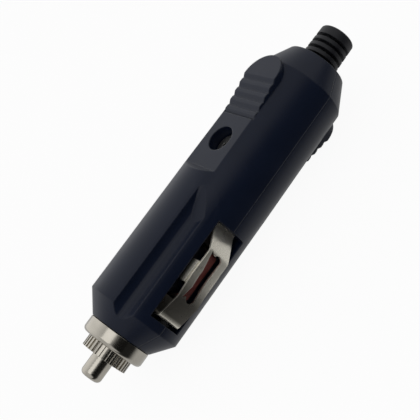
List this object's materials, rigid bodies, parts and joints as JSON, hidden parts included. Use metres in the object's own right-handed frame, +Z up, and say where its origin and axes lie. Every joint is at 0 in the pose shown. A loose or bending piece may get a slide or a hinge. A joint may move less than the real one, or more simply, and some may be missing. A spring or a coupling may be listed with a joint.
{
  "type": "cigarette lighter plug",
  "caption": "Round-bodied 12 V car accessory plug with spring-loaded tip, side ground clips, screw-on nose cap, ridged thumb grips and slotted strain relief.",
  "frame": {"origin": "under the middle of the plug's length, on the surface it lies on", "axes": "+X along the plug from the contact tip to the cable end, +Z up through the screw panel, -Y through one ground clip"},
  "size_m": [0.087, 0.0226, 0.0205],
  "materials": {
    "casing": "satin moulded",
    "screw_steel": "zinc plated",
    "nickel": "nickel plated, polished",
    "clip_nickel": "nickel plated spring strip",
    "glass": "clear",
    "copper": "bare copper alloy",
    "brass": "bare",
    "spring_steel": "bright wire",
    "relief_rubber": "matte"
  },
  "bodies": {
    "casing": {"upper_shell": "casing", "lower_shell": "casing", "case_screw": "screw_steel", "contact_spring": "spring_steel", "positive_terminal": "brass", "near_ground_strap": "copper", "far_ground_strap": "copper", "strain_relief": "relief_rubber"},
    "tip": {"tip_contact": "nickel", "fuse_front_cap": "nickel", "fuse_glass": "glass", "fuse_element": "copper", "fuse_rear_cap": "nickel"},
    "nose_cap": {"nose_cap": "nickel"},
    "near_clip": {"near_ground_clip": "clip_nickel"},
    "far_clip": {"far_ground_clip": "clip_nickel"}
  },
  "joints": [
    {"name": "tip_press", "type": "slide", "parent": "casing", "child": "tip", "axis": [1, 0, 0], "range_m": [0, 0.0025], "stiffness_N_per_m": 800, "springref_m": -0.002, "deforming": ["contact_spring"]},
    {"name": "cap_unscrew", "type": "hinge", "parent": "casing", "child": "nose_cap", "pos_m": [-0.036, 0, 0.01025], "axis": [-1, 0, 0], "range_deg": [0, 720]},
    {"name": "near_clip_press", "type": "slide", "parent": "casing", "child": "near_clip", "axis": [0, 1, 0], "range_m": [0, 0.0009], "stiffness_N_per_m": 2500, "springref_m": -0.0005},
    {"name": "far_clip_press", "type": "slide", "parent": "casing", "child": "far_clip", "axis": [0, -1, 0], "range_m": [0, 0.0009], "stiffness_N_per_m": 2500, "springref_m": -0.0005}
  ]
}
